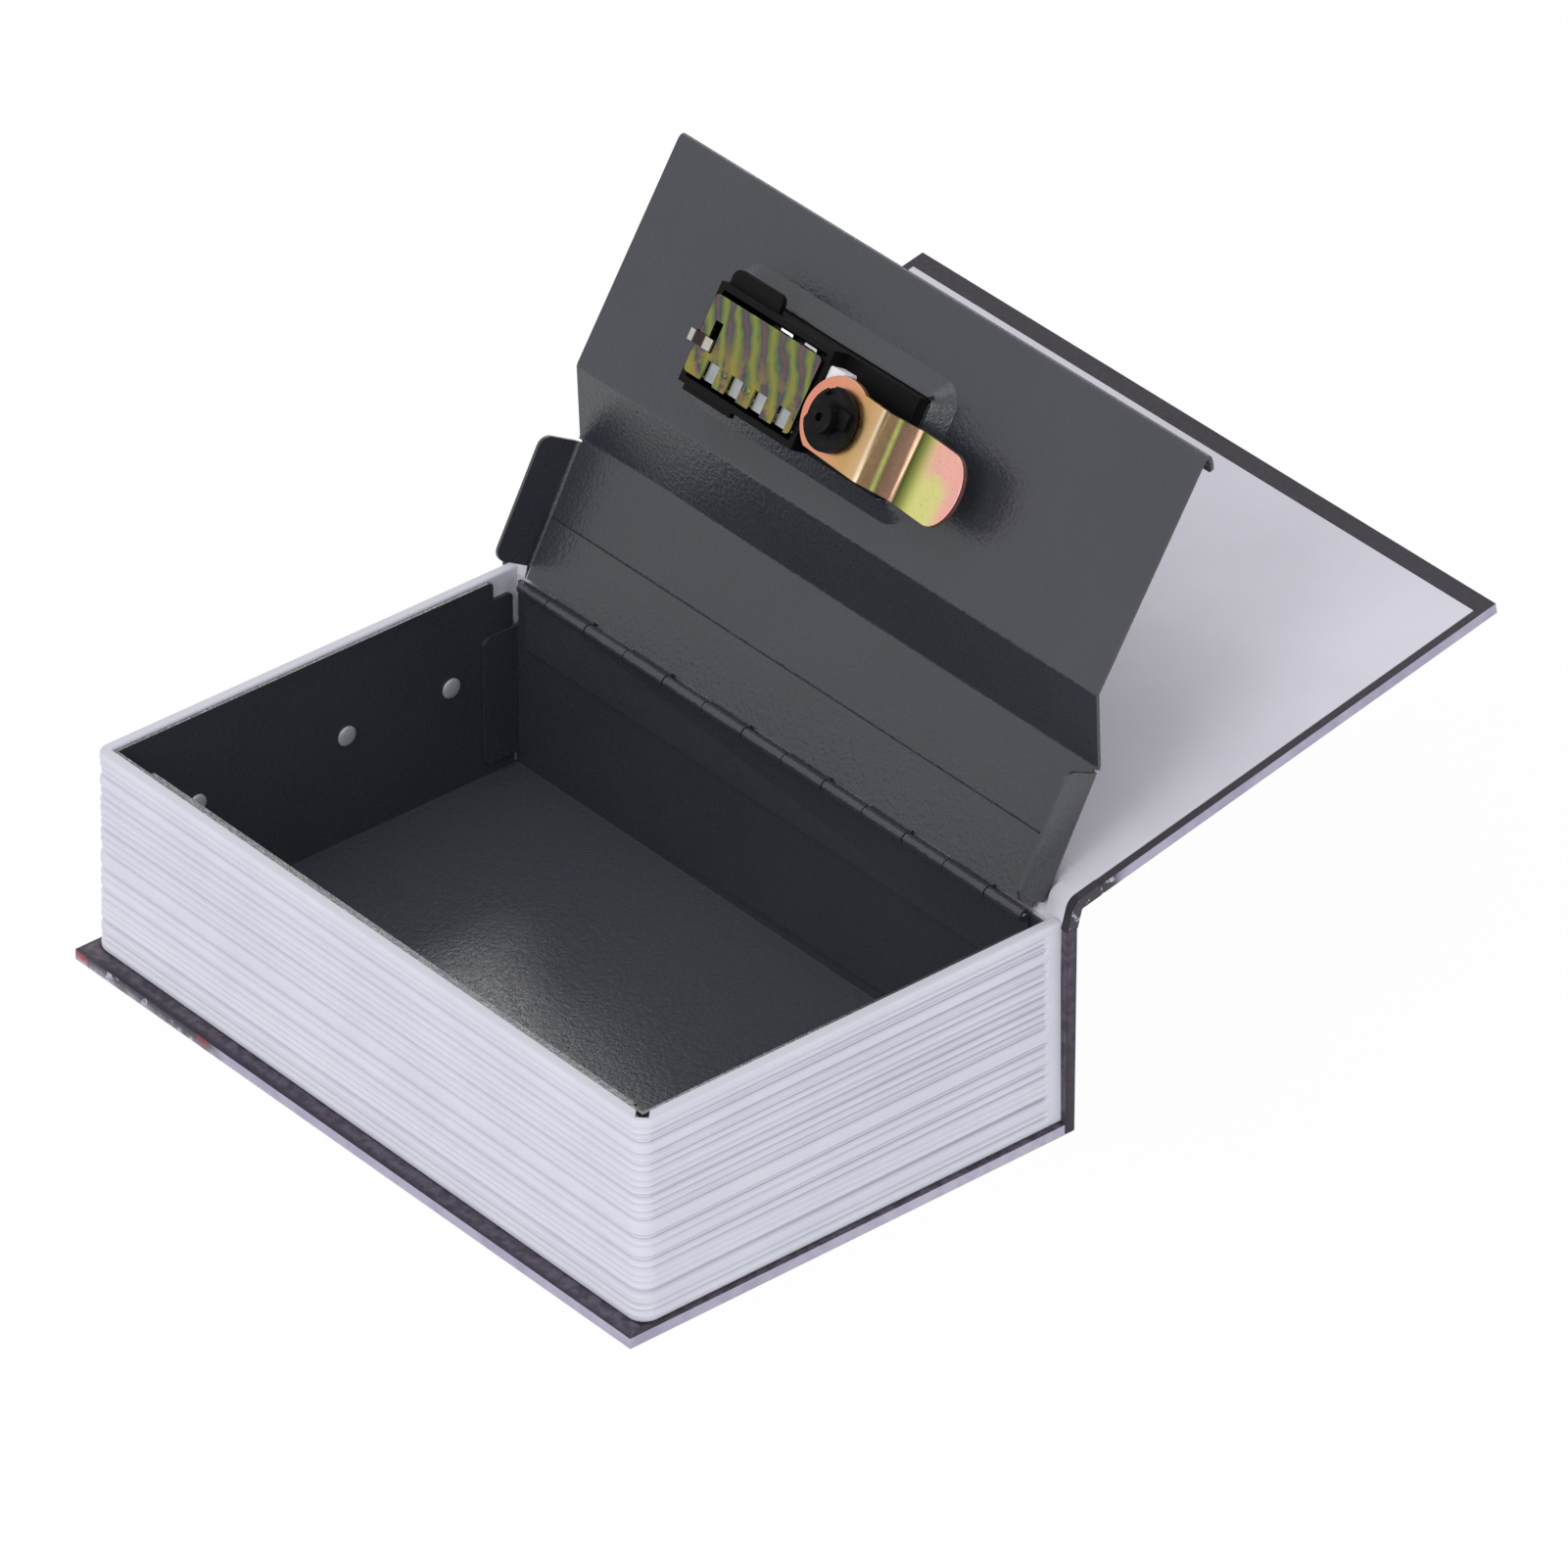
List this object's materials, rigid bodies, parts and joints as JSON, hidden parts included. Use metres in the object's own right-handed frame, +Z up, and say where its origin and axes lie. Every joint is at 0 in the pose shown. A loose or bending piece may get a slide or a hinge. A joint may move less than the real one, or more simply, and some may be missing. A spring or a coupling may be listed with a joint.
{
  "type": "book diversion safe",
  "caption": "Hollow book with moulded page block, folded steel tray, piano-hinged lid with combination cam lock, and hinged front cover, standing open.",
  "frame": {"origin": "middle of the back cover's underside", "axes": "+Z up from the back cover, X along the spine, +Y from the fore-edge towards the spine and on over the open front cover"},
  "size_m": [0.18, 0.2312, 0.1414],
  "materials": {
    "greyboard": "matt board",
    "printed_wrap": "matt laminated print",
    "endpaper": "matt paper",
    "page_plastic": "fine moulded texture",
    "powder_coated_steel": "satin powder coat",
    "rivet_aluminium": "satin",
    "bare_steel": "satin",
    "yellow_zinc": "yellow passivated zinc plate",
    "black_plastic": "matt",
    "white_plastic": "matt"
  },
  "bodies": {
    "book": {"back_board": "greyboard", "back_wrap": "printed_wrap", "back_endpaper": "endpaper", "spine_board": "greyboard", "spine_wrap": "printed_wrap", "spine_liner": "endpaper", "cover_crease": "printed_wrap", "page_block": "page_plastic", "steel_tray": "powder_coated_steel", "rivet_left_1": "rivet_aluminium", "rivet_left_2": "rivet_aluminium", "rivet_left_3": "rivet_aluminium", "rivet_right_1": "rivet_aluminium", "rivet_right_2": "rivet_aluminium", "rivet_right_3": "rivet_aluminium", "tray_hinge_leaf": "powder_coated_steel", "hinge_pin": "bare_steel"},
    "front_cover": {"front_board": "greyboard", "front_wrap": "printed_wrap", "front_endpaper": "endpaper"},
    "lid": {"lid_panel": "powder_coated_steel", "lid_hinge_leaf": "powder_coated_steel", "lock_bezel": "black_plastic", "lock_housing": "black_plastic", "lock_back_plate": "yellow_zinc", "detent_comb": "bare_steel", "dial_axle": "bare_steel", "code_slide": "white_plastic"},
    "dial_1": {"number_dial_1": "black_plastic"},
    "dial_2": {"number_dial_2": "black_plastic"},
    "dial_3": {"number_dial_3": "black_plastic"},
    "code_lever": {"code_lever": "bare_steel"},
    "knob": {"turn_knob": "black_plastic", "lock_cam": "yellow_zinc", "cam_cap": "black_plastic"}
  },
  "joints": [
    {"name": "lid_hinge", "type": "hinge", "parent": "book", "child": "lid", "pos_m": [0, 0.05345, 0.0498], "axis": [1, 0, 0], "range_deg": [0, 122.1]},
    {"name": "front_cover_hinge", "type": "hinge", "parent": "book", "child": "front_cover", "pos_m": [0, 0.0587, 0.05426], "axis": [1, 0, 0], "range_deg": [0, 168], "deforming": ["cover_crease"]},
    {"name": "number_dial_1_spin", "type": "hinge", "parent": "lid", "child": "dial_1", "pos_m": [-0.032, 0.07906, 0.11809], "axis": [1, 0, 0], "continuous": true},
    {"name": "number_dial_2_spin", "type": "hinge", "parent": "lid", "child": "dial_2", "pos_m": [-0.0245, 0.07906, 0.11809], "axis": [1, 0, 0], "continuous": true},
    {"name": "number_dial_3_spin", "type": "hinge", "parent": "lid", "child": "dial_3", "pos_m": [-0.017, 0.07906, 0.11809], "axis": [1, 0, 0], "continuous": true},
    {"name": "knob_turn", "type": "hinge", "parent": "lid", "child": "knob", "pos_m": [0, 0.091, 0.10966], "axis": [0, -0.8471, 0.5314], "range_deg": [0, 93]},
    {"name": "code_lever_slide", "type": "slide", "parent": "lid", "child": "code_lever", "axis": [0, 0.5314, 0.8471], "range_m": [0, 0.0036]}
  ],
  "couplings": [
    {"joint": "front_cover_hinge", "follows": "lid_hinge", "ratio": 1.3759}
  ]
}
